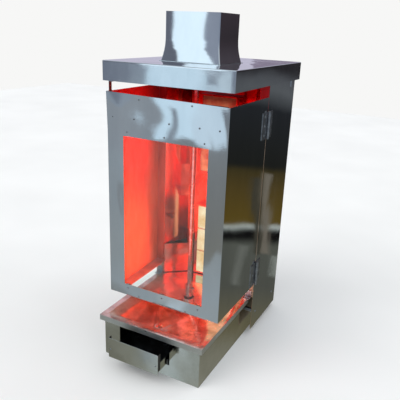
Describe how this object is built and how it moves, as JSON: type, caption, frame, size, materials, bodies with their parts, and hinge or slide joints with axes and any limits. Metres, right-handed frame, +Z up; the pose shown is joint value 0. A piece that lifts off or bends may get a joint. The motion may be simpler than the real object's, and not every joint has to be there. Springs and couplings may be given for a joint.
{
  "type": "vertical rotisserie broiler",
  "caption": "Countertop upright spit broiler: stacked infrared gas burners, hinged glazed door, hood with square flue, grease drawer under a drip pan.",
  "frame": {"origin": "on the floor, at the centre of the footprint of everything at rest, with the drawer drawn out and the rear knobs counted", "axes": "+Z up, +Y to the rear, +X to the right of a person facing the window"},
  "size_m": [0.45, 0.7444, 1.152],
  "materials": {
    "stainless": "polished stainless sheet",
    "base_steel": "fine-brushed stainless sheet",
    "reflector_steel": "bright-annealed stainless, heat-tinted",
    "ceramic": "glowing perforated cordierite plaque",
    "glass": "clear tempered glass",
    "cast": "cast housing",
    "zinc": "zinc-plated steel",
    "brass": "machined brass",
    "knob_plastic": "black phenolic",
    "black_plastic": "black moulded",
    "pipe": "black-painted gas pipe",
    "magnet": "black magnet holder"
  },
  "bodies": {
    "root": {"base_shell": "base_steel", "base_floor": "base_steel", "base_deck": "base_steel", "drip_pan": "base_steel", "drawer_runners": "base_steel", "motor_bracket": "zinc", "gearmotor": "cast", "lower_bearing": "zinc", "top_bridge": "stainless", "upper_bush": "brass", "column_left": "stainless", "column_right": "stainless", "column_back": "stainless", "column_feet": "zinc", "column_spacers": "zinc", "column_screws": "zinc", "reflector_left": "reflector_steel", "reflector_right": "reflector_steel", "low_reflectors": "reflector_steel", "reflector_back": "reflector_steel", "gas_manifold": "pipe", "gas_jets": "brass", "gas_inlet": "zinc", "gas_valves": "brass", "venturi_tubes": "cast", "hood_shell": "stainless", "hood_gussets": "stainless", "chimney_collar": "stainless", "chimney_duct": "stainless", "column_hinge_leaves": "stainless", "hinge_pins": "zinc", "catch_magnet": "magnet", "switch_housing": "black_plastic", "power_inlet": "black_plastic", "lower_burner_housing": "reflector_steel", "lower_burner_tiles": "ceramic", "lower_burner_frame": "reflector_steel", "upper_burner_housing": "reflector_steel", "upper_burner_tiles": "ceramic", "upper_burner_frame": "reflector_steel"},
    "drawer": {"grease_tray": "base_steel", "drawer_front": "base_steel", "drawer_screws": "zinc"},
    "spit": {"drive_shaft": "zinc", "spit_socket": "stainless", "spit_rod": "reflector_steel", "clamp_screw": "zinc"},
    "door": {"door_front": "stainless", "door_left": "stainless", "door_right": "stainless", "door_returns": "stainless", "window_glass": "glass", "door_brace": "stainless", "glass_clips": "zinc", "door_rivets": "zinc", "door_hinge_leaves": "stainless", "door_catch": "stainless"},
    "low_knob": {"lower_knob": "knob_plastic"},
    "high_knob": {"upper_knob": "knob_plastic"},
    "rocker": {"switch_rocker": "black_plastic"}
  },
  "joints": [
    {"name": "door_hinge", "type": "hinge", "parent": "root", "child": "door", "pos_m": [0.2175, 0.0684, 0.5], "axis": [0, 0, 1], "range_deg": [0, 110]},
    {"name": "drawer_slide", "type": "slide", "parent": "root", "child": "drawer", "axis": [0, -1, 0], "range_m": [-0.066, 0.15]},
    {"name": "spit_spin", "type": "hinge", "parent": "root", "child": "spit", "pos_m": [0, -0.04, 0.5], "axis": [0, 0, 1], "continuous": true},
    {"name": "lower_knob_turn", "type": "hinge", "parent": "root", "child": "low_knob", "pos_m": [0, 0.3572, 0.262], "axis": [0, 1, 0], "range_deg": [-90, 0]},
    {"name": "upper_knob_turn", "type": "hinge", "parent": "root", "child": "high_knob", "pos_m": [0, 0.3572, 0.56], "axis": [0, 1, 0], "range_deg": [-90, 0]},
    {"name": "rocker_tilt", "type": "hinge", "parent": "root", "child": "rocker", "pos_m": [0.12, 0.326, 0.23], "axis": [1, 0, 0], "range_deg": [0, 20]}
  ]
}
